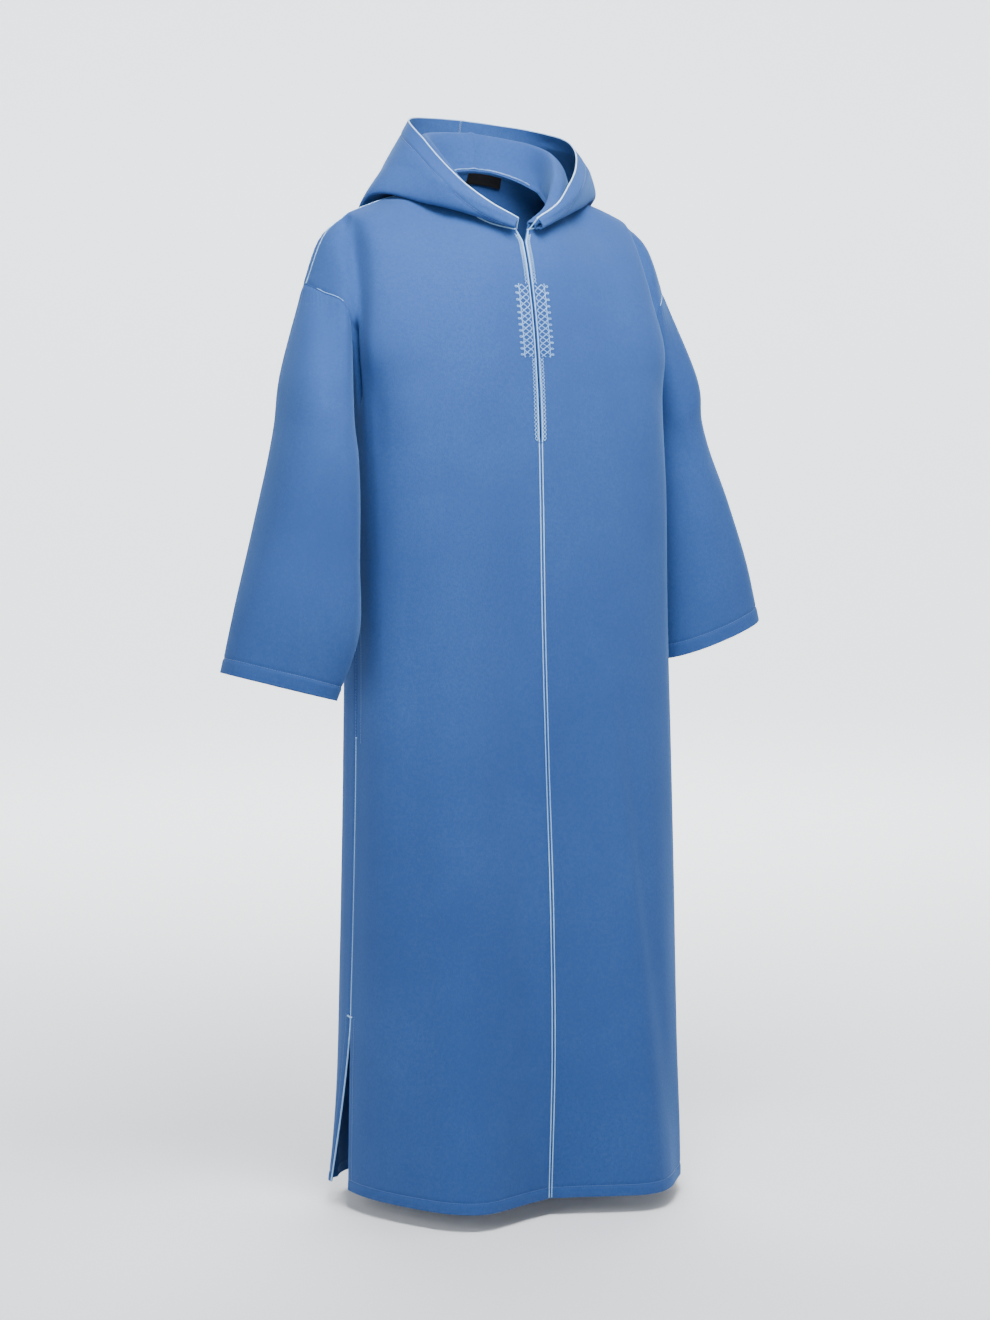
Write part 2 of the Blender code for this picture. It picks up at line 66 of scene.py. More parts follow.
# Half of the front above the underarm, as x, y, z in millimetres for the columns centre, collar, collar
# side, neck point, yoke, crest, crease, arm and armhole. Front and back share the shoulder seam
shoulderSeam = [(80, 20, -2), (145, 30, -12), (205, 30, -33), (222, 30, -43), (253, 30, -72), (279, 30, -138)]
frontRows = {
    "top": [(10, -85, -62), (45, -70, -52), (70, -35, -30), *shoulderSeam],
    "shoulder": [(4, -94, -85), (45, -88, -74), (78, -62, -54), (100, -14, -22), (150, -12, -26),
        (203, -8, -46), (220, 9, -57), (251, 10, -81), (276, 12, -143)],
    "yoke": [(1, -105, -115), (45, -104, -107), (85, -92, -98), (125, -70, -88), (168, -58, -85),
        (206, -42, -87), (221, -8, -91), (246, -14, -109), (268, -6, -151)],
    "chest": [(1, -122, -180), (50, -122, -178), (100, -116, -172), (150, -102, -168), (190, -90, -165),
        (217, -70, -165), (225, -42, -167), (235, -36, -169), (246, -38, -171)],
    "armhole": [(0, -133, -245), (55, -134, -245), (108, -130, -243), (158, -121, -239),
        (202, -108, -237), (227, -86, -236), (230, -62, -236), (231, -44, -237), (233, -26, -238)],
}
frontDepths = (0.0, 0.045, 0.10, 0.17, 0.24)     # of the rows, on the back too

# Half of the back above the underarm, for the same columns
backRows = {
    "top": [(0, 75, 30), (30, 71, 27), (60, 52, 15), *shoulderSeam],
    "shoulder": [(0, 92, 0), (34, 91, -3), (70, 84, -12), (104, 70, -22), (150, 70, -28),
        (207, 62, -48), (223, 50, -58), (253, 47, -80), (276, 46, -142)],
    "yoke": [(0, 110, -75), (42, 110, -76), (84, 107, -78), (125, 101, -80), (170, 94, -84),
        (212, 82, -90), (228, 64, -94), (253, 64, -112), (269, 60, -150)],
    "chest": [(0, 120, -170), (50, 121, -170), (100, 119, -169), (150, 114, -168), (196, 105, -167),
        (226, 88, -167), (234, 70, -168), (241, 65, -169), (249, 65, -171)],
    "armhole": [(0, 116, -240), (55, 118, -240), (108, 116, -240), (160, 110, -240), (205, 100, -238),
        (231, 82, -236), (233, 60, -236), (233, 44, -237), (233, 28, -238)],
}

# Rings of the body from the underarm to the hem: depth, right half width, left half width, side seam y,
# centre front y, centre back y and front bulge in millimetres, and squareness
bodyRings = [
    (285, 231, 236, 0, -138, 112, 0, 3.6),
    (430, 230, 237, -18, -146, 102, 0, 3.4),
    (600, 228, 238, -28, -152, 94, 0, 3.1),
    (800, 229, 242, -30, -164, 100, 4, 2.9),
    (1000, 230, 247, -24, -178, 112, 14, 2.7),
    (1200, 231, 254, -14, -182, 130, 32, 2.5),
    (1395, 230, 264, -4, -171, 150, 56, 2.35),
]
underarm, hemDepth = bodyRings[0][0] / 1000, bodyRings[-1][0] / 1000
columnAngles = (0, 14, 27, 40, 54, 66, 74, 82, 90)
bulgeShare = (0.0, 0.55, 1.0, 0.90, 0.48, 0.20, 0.08, 0.02, 0.0)
slitBackShift = {"out": 0.004, "back": 0.050, "power": 1.4}     # the side slit's back corner at the hem

# Rings of the sleeves at upper arm, biceps, elbow, forearm and cuff: centre x, y, z, half width and half
# depth in millimetres, and tilt in degrees. The right arm hangs a little forward, the left back and higher
sleeveRings = {
    -1: [(285, -26, -290, 42, 72, 40), (295, -46, -360, 51, 76, 26), (312, -50, -500, 69, 78, 18),
         (328, -58, -600, 83, 70, 16), (353, -54, -689, 79, 56, 15)],
    1: [(286, 28, -290, 39, 68, 40), (293, 34, -350, 45, 72, 27), (314, 16, -475, 63, 72, 20),
        (329, 2, -565, 73, 66, 19), (338, -10, -648, 80, 56, 19)],
}
sleeveAlong = (0.0, 0.16, 0.34, 0.64, 0.83, 1.0)     # the seam, then the rings
sleevePower = 2.3

# Half of the hood in millimetres, for the columns centre front, front, front side, neck point, back side,
# back and centre back
hoodRows = {
    "rise": [(10, -84, -57), (45, -67, -40), (71, -33, -12), (83, 20, 18), (74, 58, 34), (40, 80, 46),
        (0, 86, 52)],
    "roll": [(10, -84, -52), (47, -68, -26), (77, -31, 16), (94, 22, 56), (86, 68, 74), (50, 93, 82),
        (0, 101, 86)],
    "turn": [(14, -89, -52), (52, -76, -28), (86, -35, 12), (106, 24, 50), (96, 80, 66), (56, 105, 74),
        (0, 113, 78)],
    "fall": [(16, -93, -56), (58, -76, -36), (96, -34, -12), (130, 28, 8), (114, 98, -4),
        (62, 122, -20), (0, 130, -30)],
    "pouch front": [(18, -97, -61), (62, -68, -44), (108, -24, -23), (166, 42, -11), (142, 124, -82),
        (70, 138, -180), (0, 140, -224)],
    "pouch": [(21, -104, -60), (68, -77, -43), (119, -32, -26), (178, 42, -12), (154, 136, -94),
        (75, 158, -198), (0, 160, -240)],
    "outer": [(19, -106, -53), (68, -86, -28), (121, -42, 4), (162, 36, 36), (144, 130, 2),
        (74, 164, -60), (0, 170, -90)],
    "face edge": [(15, -103, -48), (60, -86, -20), (106, -37, 30), (128, 32, 78), (102, 100, 98),
        (55, 128, 105), (0, 138, 108)],
}
# How far the hood's right side is drawn in, in millimetres, which the left side isn't
hoodRightIn = {"outer": (0, 0, 4, 14, 20, 10, 0), "face edge": (0, 0, 2, 6, 8, 3, 0)}
hoodAlong = (0.0, 0.09, 0.19, 0.24, 0.38, 0.58, 0.64, 0.80, 1.0)     # the seam, then the rows
hoodSteps = (2, 2, 2, 2, 3, 2, 3, 3)     # steps between the named rows
hoodShift = 0.010      # the hood lies a little to the wearer's left
hoodLean = 0.060       # and its left side lies lower, as rise for each metre across
hoodHigh = 0.06        # the height at which both are in full


# A grid with its first column again at its end
def closeRound(grid):
    return np.concatenate([grid, grid[:, :1]], axis=1)


# A smooth curve through the knots, read at the places
def smoothThrough(knots, values, places):
    knots = np.asarray(knots, dtype=float)
    values = np.asarray(values, dtype=float)
    steps = np.diff(knots)
    shape = (-1,) + (1,) * (values.ndim - 1)
    slopes = np.diff(values, axis=0) / steps.reshape(shape)
    tangents = np.empty_like(values)
    tangents[0], tangents[-1] = slopes[0], slopes[-1]
    before, after = steps[:-1].reshape(shape), steps[1:].reshape(shape)
    tangents[1:-1] = (slopes[:-1] * after + slopes[1:] * before) / (before + after)
    places = np.asarray(places, dtype=float)
    index = np.clip(np.searchsorted(knots, places, side="right") - 1, 0, len(steps) - 1)
    width = steps[index].reshape(shape)
    t = ((places - knots[index]) / steps[index]).reshape(shape)
    start = values[index] * (2 * t ** 3 - 3 * t ** 2 + 1)
    start += tangents[index] * width * (t ** 3 - 2 * t ** 2 + t)
    end = values[index + 1] * (3 * t ** 2 - 2 * t ** 3) + tangents[index + 1] * width * (t ** 3 - t ** 2)
    return start + end


# The depths of the body's rows of quads, close together at the hem
def rowDepths():
    upper = underarm * np.linspace(0, 1, robe["armholeSteps"] + 1) ** robe["rowCrowding"]
    middle = np.linspace(underarm, robe["sideSlitTop"], robe["middleSteps"] + 1)
    lower = np.linspace(robe["sideSlitTop"], hemDepth - robe["fineEdge"], robe["slitSteps"] + 1)
    edge = np.linspace(hemDepth - robe["fineEdge"], hemDepth, robe["edgeSteps"] + 1)
    return np.concatenate([upper, middle[1:], lower[1:], edge[1:]])


def ringRow(ring, side, front):
    depth, right, left, seamY, frontY, backY, bulge = (value / 1000 for value in ring[:-1])
    power = ring[-1]
    half = right if side < 0 else left
    reach = (frontY if front else backY) - seamY
    row = []
    for degrees, share in zip(columnAngles, bulgeShare):
        angle = math.radians(degrees)
        across = half * math.sin(angle) ** (2 / power)
        ahead = seamY + reach * max(math.cos(angle), 0.0) ** (2 / power)
        row.append((across, ahead - (bulge * share if front else 0.0), -depth))
    return row


# Half a front or half the back, worn, before its folds
def halfPanel(side, front):
    table = frontRows if front else backRows
    net = [np.array(row) / 1000 for row in table.values()]
    net += [np.array(ringRow(ring, side, front)) for ring in bodyRings]
    depths = [*frontDepths, *(ring[0] / 1000 for ring in bodyRings)]
    neck = np.linspace(0, 3, robe["neckFrontSteps" if front else "neckBackSteps"] + 1)
    ridge = np.linspace(3, 8, robe["shoulderSteps"] + 1)[1:]
    places = np.concatenate([neck, ridge])
    index = np.arange(9)
    # The neckline and the shoulder seam meet at a corner
    rows = [np.concatenate([smoothThrough(index[:4], net[0][:4], neck),
                            smoothThrough(index[3:], net[0][3:], ridge)])]
    rows += [smoothThrough(index, row, places) for row in net[1:]]
    wanted = rowDepths()
    grid = smoothThrough(depths, np.array(rows), wanted)
    if front:
        openShare = np.clip(1 - wanted / robe["neckOpenEnd"], 0, 1)
        edge = robe["slitOpen"] + (robe["neckOpen"] - robe["slitOpen"]) * openShare
        grid[:, 0, 0] = np.where(wanted < robe["slitEnd"], edge, 0.0)
    else:
        below = np.clip((wanted - robe["sideSlitTop"]) / (hemDepth - robe["sideSlitTop"]), 0, 1)
        below = below ** slitBackShift["power"]
        spread = np.clip((places - 5) / 3, 0, 1)
        for axis, way in enumerate(("out", "back")):
            grid[:, :, axis] += slitBackShift[way] * below[:, None] * spread[None, :]
    grid[:, :, 0] *= side
    return grid


def shareSideSeam(front, back):
    first, last = robe["armholeSteps"], robe["armholeSteps"] + robe["middleSteps"] + 1
    seam = (front[first:last, -1] + back[first:last, -1]) / 2
    front[first:last, -1] = seam
    back[first:last, -1] = seam


def sleeveGrid(side, front, back):
    down = front[:robe["armholeSteps"] + 1, -1]
    up = back[:robe["armholeSteps"] + 1, -1][::-1]
    loop = np.concatenate([down, up[1:-1]])
    turn = 2 * math.pi * np.arange(len(loop)) / len(loop)
    rings = [loop]
    for *sizes, tilt in sleeveRings[side]:
        x, y, z, halfWidth, halfDepth = (value / 1000 for value in sizes)
        across = np.sign(np.cos(turn)) * np.abs(np.cos(turn)) ** (2 / sleevePower) * halfWidth
        ahead = -np.sign(np.sin(turn)) * np.abs(np.sin(turn)) ** (2 / sleevePower) * halfDepth
        height = z + across * math.tan(math.radians(tilt))
        rings.append(np.stack([side * (x + across), y + ahead, height], axis=1))
    lengthwise = robe["cuffRowsFrom"] * np.linspace(0, 1, robe["sleeveSteps"] + 1) ** robe["rowCrowding"]
    edge = np.linspace(robe["cuffRowsFrom"], 1, robe["edgeSteps"] + 1)
    return smoothThrough(sleeveAlong, np.array(rings), np.concatenate([lengthwise, edge[1:]]))


def hoodGrid(side, front, back):
    frontSteps, backSteps = robe["neckFrontSteps"], robe["neckBackSteps"]
    neck = np.concatenate([front[0, :frontSteps + 1], back[0, :backSteps][::-1]])
    places = np.concatenate([np.linspace(0, 3, frontSteps + 1), np.linspace(3, 6, backSteps + 1)[1:]])
    rows = [neck]
    for name, row in hoodRows.items():
        knots = np.array(row) / 1000
        if side < 0 and name in hoodRightIn:
            knots[:, 0] -= np.array(hoodRightIn[name]) / 1000
        points = smoothThrough(np.arange(7), knots, places)
        points[:, 0] *= side
        high = np.clip(points[:, 2] / hoodHigh, 0, 1)
        points[:, 2] -= hoodLean * points[:, 0] * high
        points[:, 0] += hoodShift * high * np.linspace(0, 1, len(places)) ** 0.5
        rows.append(points)
    wanted = [0.0]
    for start, end, steps in zip(hoodAlong, hoodAlong[1:], hoodSteps):
        density = robe["hoodDensity"] * (2 if end == hoodAlong[-1] else 1)
        wanted.extend(np.linspace(start, end, steps * density + 1)[1:])
    grid = smoothThrough(hoodAlong, np.array(rows), wanted)
    grid[0] = neck
    return grid


def placeKey(point):
    return tuple(round(value * 1e5) for value in point)


def ownNormals(grid, flip, closed):
    ring = closeRound(grid) if closed else grid
    faces = np.cross(ring[1:, 1:] - ring[:-1, :-1], ring[1:, :-1] - ring[:-1, 1:])
    faces = -faces if flip else faces
    normals = np.zeros_like(ring)
    for part in (normals[:-1, :-1], normals[:-1, 1:], normals[1:, :-1], normals[1:, 1:]):
        part += faces
    if closed:
        normals[:, 0] += normals[:, -1]
        normals = normals[:, :-1]
    return normals


# The panels that meet at a seam share one normal there; body, sleeves and hood count once each
def sharedNormals(panels):
    groups = {"front": {}, "sleeve": {}, "hood": {}}
    raw = {name: ownNormals(*panel) for name, panel in panels.items()}

    def borders(name):
        grid, closed = panels[name][0], panels[name][2]
        rows, columns = grid.shape[:2]
        return [(i, j) for i in range(rows) for j in range(columns)
                if i in (0, rows - 1) or not closed and j in (0, columns - 1)]

    for name in panels:
        word = name.split("_")[0]
        store = groups["front" if word == "back" else word]
        for i, j in borders(name):
            key = placeKey(panels[name][0][i, j])
            store[key] = store.get(key, 0) + raw[name][i, j]
    total = {}
    for store in groups.values():
        for key, normal in store.items():
            total[key] = total.get(key, 0) + normal / norm(normal)
    for name in panels:
        for i, j in borders(name):
            raw[name][i, j] = total[placeKey(panels[name][0][i, j])]
    return {name: normals / norm(normals, axis=2, keepdims=True) for name, normals in raw.items()}


# The row or column at each sewn side of a grid, and the next one in
gridSides = {
    "top": (np.s_[0], np.s_[1]),
    "start": (np.s_[:, 0], np.s_[:, 1]),
    "end": (np.s_[:, -1], np.s_[:, -2]),
}


# Draws the sewn sides back by half the seam's gap
def drawBack(grid, sides):
    moved = grid.copy()
    for side in sides:
        edge, inner = gridSides[side]
        way = moved[inner] - moved[edge]
        moved[edge] += way / norm(way, axis=-1, keepdims=True) * robe["seamGap"] / 2
    return moved


def addToScene(name, data):
    thing = bpy.data.objects.new(name, data)
    bpy.context.scene.collection.objects.link(thing)
    return thing


# A smooth mesh piece with its faces turned outward
def meshPiece(name, points, faces, material, sharpFrom=None):
    mesh = bpy.data.meshes.new(name)
    mesh.from_pydata(points.tolist(), [], faces)
    work = bmesh.new()
    work.from_mesh(mesh)
    bmesh.ops.recalc_face_normals(work, faces=work.faces)
    if work.calc_volume(signed=True) < 0:
        bmesh.ops.reverse_faces(work, faces=work.faces)
    work.to_mesh(mesh)
    work.free()
    mesh.shade_smooth()
    if sharpFrom:
        mesh.set_sharp_from_angle(angle=math.radians(sharpFrom))
    mesh.materials.append(material)
    return addToScene(name, mesh)


# The quads between the rows of a grid of corner numbers
def skinOf(ring):
    return np.stack([ring[:-1, :-1], ring[:-1, 1:], ring[1:, 1:], ring[1:, :-1]], axis=-1).reshape(-1, 4)


# A closed cloth wall between an outer and an inner grid
def makeWall(name, outer, inner, material, closed=False):
    index = np.arange(outer.size // 3).reshape(outer.shape[:2])
    count = index.size
    points = np.concatenate([outer.reshape(-1, 3), inner.reshape(-1, 3)])
    ring = closeRound(index) if closed else index
    skin = skinOf(ring)
    faces = [skin, skin[:, ::-1] + count]
    rims = [ring[0][::-1], ring[-1]]
    if not closed:
        rims += [ring[:, 0], ring[::-1, -1]]
    for rim in rims:
        faces.append(np.stack([rim[:-1], rim[1:], rim[1:] + count, rim[:-1] + count], axis=1))
    return meshPiece(name, points, np.concatenate(faces).tolist(), material, 55)


# The robe's soft folds in millimetres, each a line in space from one end to the other, its half width and
# its height. Ridges are above nought and troughs below
folds = {
    "left shin ridge": ((92, -150, -680), (158, -175, -1420), 16, 5.4),
    "left shin trough": ((125, -150, -720), (196, -150, -1420), 18, -4.3),
    "left edge ridge": ((205, -110, -1100), (225, -125, -1420), 12, 3.6),
    "left chest slope": ((100, -120, -200), (150, -125, -620), 40, -3.3),
    "centre left trough": ((35, -150, -620), (45, -190, -1420), 24, -4.1),
    "right thigh ridge": ((-120, -140, -460), (-150, -200, -1420), 34, 6.6),
    "right centre trough": ((-45, -150, -520), (-42, -195, -1420), 26, -5.7),
    "right edge trough": ((-190, -110, -440), (-192, -140, -1300), 24, -4.3),
    "right chest band": ((-120, -105, -140), (-150, -125, -500), 30, -3.0),
    "right yoke pull": ((-95, -50, -60), (-185, -85, -190), 14, 2.4),
    "left yoke pull": ((100, -50, -60), (180, -88, -200), 15, 2.2),
    "back left ridge": ((90, 110, -340), (120, 135, -1420), 26, 6.3),
    "back left trough": ((150, 95, -420), (190, 115, -1360), 22, -4.9),
    "back centre trough": ((20, 110, -500), (34, 150, -1420), 28, -6.0),
    "back right ridge": ((-60, 110, -400), (-85, 145, -1420), 24, 7.1),
    "back right trough": ((-135, 100, -360), (-150, 125, -1200), 21, -5.4),
    "back right edge": ((-195, 70, -600), (-205, 85, -1420), 18, 4.3),
    "right sleeve drag": ((-262, -80, -300), (-345, -120, -460), 11, 3.0),
    "right sleeve front": ((-300, -118, -340), (-352, -118, -720), 20, -3.6),
    "right sleeve inner": ((-262, -80, -420), (-285, -100, -700), 14, 3.3),
    "right sleeve back": ((-300, 30, -300), (-350, 15, -700), 16, -4.3),
    "left sleeve drag": ((262, -30, -300), (340, -50, -430), 11, 1.7),
    "left sleeve front": ((330, -45, -360), (370, -55, -640), 18, -3.3),
    "left sleeve back": ((290, 100, -300), (335, 50, -660), 17, 4.3),
    "hood left pull": ((70, 150, 20), (20, 165, -140), 12, 3.0),
    "hood right pull": ((-80, 145, 30), (-20, 168, -120), 12, 2.7),
    "hood side fold": ((150, 30, 40), (160, 100, 0), 10, -2.7),
    "hood right side": ((-118, -20, 20), (-150, 60, 20), 12, -2.4),
}
# The short pleats on the inner face of the hood's outer layer, at the wearer's back left
hoodPleats = {
    "count": 6,
    "from": (56, 133, 99),
    "to": (126, 84, 88),
    "drop": (20, -12, -30),
    "halfWidth": 3.4,
    "height": 2.4,
}
foldLook = {
    "reach": 0.3,         # how much front to back counts, as the lines lie only near the cloth
    "wander": 0.004,      # how far a fold strays from its line, in metres
    "wanderTurns": 5.2,
    "endSoftness": 0.6,
}

# The sharp crease where the right arm hangs from the shoulder, from the yoke down into the underarm. Its
# path is in metres, its half width and height in millimetres
crease = {"path": ((-0.2225, 0.0210, -0.048), (-0.2260, 0.0075, -0.0814), (-0.2310, -0.0070, -0.1226),
                   (-0.2300, -0.0270, -0.1712), (-0.2315, -0.0370, -0.2014), (-0.2304, -0.0480, -0.300)),
          "halfWidth": 5.2, "height": -13.0}


# The distance of each point from a bent line, and how far along it the nearest spot is
def nearLine(points, path):
    path = np.array(path)
    lengths = norm(np.diff(path, axis=0), axis=1)
    best, share = np.full(points.shape[:-1], 9.0), np.zeros(points.shape[:-1])
    for number, (start, end) in enumerate(zip(path, path[1:])):
        way = end - start
        along = np.clip(((points - start) @ way) / (way @ way), 0, 1)
        gap = norm(points - start - along[..., None] * way, axis=-1)
        walkedShare = (lengths[:number].sum() + along * lengths[number]) / lengths.sum()
        share = np.where(gap < best, walkedShare, share)
        best = np.minimum(gap, best)
    return best, share


def foldLift(points):
    rows = [(np.array(start) / 1000, np.array(end) / 1000, *rest) for start, end, *rest in folds.values()]
    first, last, drop = (np.array(hoodPleats[key]) / 1000 for key in ("from", "to", "drop"))
    for step in range(hoodPleats["count"]):
        top = first + (last - first) * (step + 0.25 * math.sin(step * 2.3)) / (hoodPleats["count"] - 1)
        rows.append((top, top + drop * (0.8 + 0.25 * math.cos(step * 1.7)), hoodPleats["halfWidth"],
                     hoodPleats["height"] * (0.8 + 0.3 * math.sin(step * 1.9))))
    gap, share = nearLine(points, crease["path"])
    lift = crease["height"] * 0.001 * np.exp(-(gap / (crease["halfWidth"] * 0.001)) ** 2)
    lift *= np.sin(math.pi * np.clip(share * 0.96 + 0.02, 0, 1)) ** 0.5
    for start, end, width, height in rows:
        way = end - start
        along = np.clip(((points - start) @ way) / (way @ way), 0, 1)
        offset = points - (start + along[..., None] * way)
        offset[..., 0] += foldLook["wander"] * np.sin(along * foldLook["wanderTurns"] + width)
        offset[..., 1] *= foldLook["reach"]
        gap = norm(offset, axis=-1) / (width * 0.001)
        ends = np.sin(math.pi * np.clip(along * 0.94 + 0.03, 0, 1)) ** foldLook["endSoftness"]
        lift += height * 0.001 * np.exp(-gap ** 2) * ends
    return lift


# How the sewing shapes the cloth, in metres: the dip along each side that is sewn, the puckers that gather
# it, and the hem's thicker turning with the groove of its stitches
sewing = {
    "dip": {"top": 0.0017, "end": 0.0017, "start": 0.0005},
    "dipWidth": 0.0035,
    "pucker": 0.0011,
    "puckerReach": 0.008,
    "puckerPitch": 0.0105,
    "puckersRound": 34,       # on a tube, a whole number of them
    "turning": 0.0007,
    "turningEdge": 0.0012,
    "groove": 0.0011,
    "grooveWidth": 0.0020,
}


# The lengths walked along the rows or the columns of a grid, from its start
def walked(grid, axis):
    steps = norm(np.diff(grid, axis=axis), axis=2)
    start = np.zeros((1, grid.shape[1])) if axis == 0 else np.zeros((grid.shape[0], 1))
    return np.concatenate([start, np.cumsum(steps, axis=axis)], axis=axis)


def seamRelief(grid, sides, closed, puckerSides, inset, dip):
    down, across = walked(grid, 0), walked(grid, 1)
    reach = {"top": down, "bottom": down[-1:] - down, "start": across, "end": across[:, -1:] - across}
    walk = {"top": across, "start": down, "end": down}
    lift = sewing["turning"] / (1 + np.exp((reach["bottom"] - inset) / sewing["turningEdge"]))
    lift -= sewing["groove"] * np.exp(-((reach["bottom"] - inset) / sewing["grooveWidth"]) ** 2)
    for side in sides:
        away = reach[side]
        lift -= dip[side] * np.exp(-(away / sewing["dipWidth"]) ** 2)
        if side not in puckerSides:
            continue
        if closed:
            turns = 2 * math.pi * np.arange(grid.shape[1])[None, :] / grid.shape[1]
            wave = np.sin(turns * sewing["puckersRound"] + 1.2 * np.sin(turns * 3))
        else:
            wave = np.sin(walk[side] / sewing["puckerPitch"] * 2 * math.pi + 1.3 * np.sin(walk[side] * 60))
        away = away / sewing["puckerReach"]
        lift += sewing["pucker"] * wave * away * np.exp(-away)
    return lift


def pathLengths(path):
    return np.concatenate([[0], np.cumsum(norm(np.diff(path, axis=0), axis=1))])


cordLobe = {"depth": 0.22, "crown": 1.6}     # a cord's section, as shares of its radius


# A tube along a path; a lobed section that turns makes a twisted cord
def tubeArrays(path, radius, sides, twistPitch=None):
    path = np.asarray(path, dtype=float)
    tangent = np.gradient(path, axis=0)
    tangent /= np.maximum(norm(tangent, axis=1, keepdims=True), 1e-12)
    side = np.cross(tangent[0], (0.31, 0.17, 0.93))
    side /= norm(side)
    turn = 2 * math.pi * np.arange(sides) / sides
    rings = []
    for place, way, far in zip(path, tangent, pathLengths(path)):
        side = side - way * (side @ way)
        side /= norm(side)
        other = np.cross(way, side)
        size = radius * np.ones(sides)
        if twistPitch:
            crown = np.abs(np.cos(turn - 2 * math.pi * far / twistPitch)) * cordLobe["crown"]
            size = radius * (1 - cordLobe["depth"] + cordLobe["depth"] * crown)
        rings.append(place + np.outer(np.cos(turn) * size, side) + np.outer(np.sin(turn) * size, other))
    index = np.arange(len(path) * sides).reshape(-1, sides)
    faces = [*skinOf(closeRound(index)).tolist(), index[0, ::-1].tolist(), index[-1].tolist()]
    return np.concatenate(rings), faces


# The same path with points an even step apart
def evenPath(path, step):
    path = np.asarray(path, dtype=float)
    length = pathLengths(path)
    wanted = np.linspace(0, length[-1], max(2, int(length[-1] / step) + 1))
    return np.stack([np.interp(wanted, length, path[:, axis]) for axis in range(3)], axis=1)


stitch = {"points": 3, "gapPoints": 1, "step": 0.0009, "radius": 0.00028}


def stitchShapes(path):
    fine = evenPath(path, stitch["step"])
    shapes, place = [], 0
    while place + stitch["points"] < len(fine):
        shapes.append(tubeArrays(fine[place:place + stitch["points"] + 1], stitch["radius"], 5))
        place += stitch["points"] + stitch["gapPoints"]
    return shapes


# Reads a worn panel by real sizes: depth down the panel, distance in from its front or side edge
class PanelReader:
    def __init__(self, grid, normals, last=False):
        self.grid = grid[:, ::-1] if last else grid
        self.normals = normals[:, ::-1] if last else normals
        self.reach = walked(self.grid, 1)
        self.depths = rowDepths()

    def at(self, depth, distance, lift):
        row = np.interp(depth, self.depths, np.arange(len(self.depths)))
        low = min(int(row), len(self.depths) - 2)
        point = np.zeros(3)
        for i, share in ((low, low + 1 - row), (low + 1, row - low)):
            lifted = self.grid[i] + self.normals[i] * lift
            point += share * np.array([np.interp(distance, self.reach[i], part) for part in lifted.T])
        return point

    def line(self, top, bottom, distance, lift, step=0.004):
        depths = np.linspace(top, bottom, max(2, int((bottom - top) / step)))
        return np.array([self.at(depth, distance, lift) for depth in depths])


def setInputs(node, **values):
    for key, value in values.items():
        node.inputs[key.replace("_", " ")].default_value = value


# A tree of nodes: adds them with their values and settings, in rows of four, and joins them
class NodeTree:
    def __init__(self, tree):
        self.nodes, self.links = tree.nodes, tree.links

    def add(self, kind, values=None, **settings):
        node = self.nodes.new("ShaderNode" + kind)
        node.location = (220 * (len(self.nodes) % 4) - 1200, -260 * (len(self.nodes) // 4))
        for key, value in settings.items():
            setattr(node, key, value)
        setInputs(node, **(values or {}))
        return node

    # Each join is a source node, its output, the target node and its input, if that isn't Vector
    def join(self, *pairs):
        for source, output, target, *socket in pairs:
            self.links.new(source.outputs[output], target.inputs[socket[0] if socket else "Vector"])

    def blend(self, mask, first, second):
        mix = self.add("Mix", data_type="RGBA")
        self.links.new(mask, mix.inputs["Factor"])
        for socket, value in (("A", first), ("B", second)):
            target = [one for one in mix.inputs if one.name == socket and one.type == "RGBA"][0]
            if isinstance(value, tuple):
                target.default_value = linearColor(*value)
            else:
                self.links.new(value, target)
        return [one for one in mix.outputs if one.type == "RGBA"][0]

    def bump(self, shader, height, strength, distance):
        bump = self.add("Bump", dict(Strength=strength, Distance=distance))
        self.links.new(height, bump.inputs["Height"])
        self.join((bump, "Normal", shader, "Normal"))


def newMaterial(name):
    material = bpy.data.materials.new(name)
    material.use_nodes = True
    tree = NodeTree(material.node_tree)
    return material, tree, tree.nodes["Principled BSDF"], tree.add("TexCoord")


# A shared group with its sockets as names and kinds, its tree, and its input and output nodes
def newGroup(name, inputs, outputs):
    group = bpy.data.node_groups.new(name, "ShaderNodeTree")
    for way, sockets in (("INPUT", inputs), ("OUTPUT", outputs)):
        for socket, kind in sockets.items():
            group.interface.new_socket(socket, in_out=way, socket_type="NodeSocket" + kind)
    tree = NodeTree(group)
    return group, tree, tree.nodes.new("NodeGroupInput"), tree.nodes.new("NodeGroupOutput")


def linearColor(red, green, blue):
    parts = [(value / 255 / 12.92) if value <= 10 else ((value / 255 + 0.055) / 1.055) ** 2.4
             for value in (red, green, blue)]
    return (*parts, 1.0)


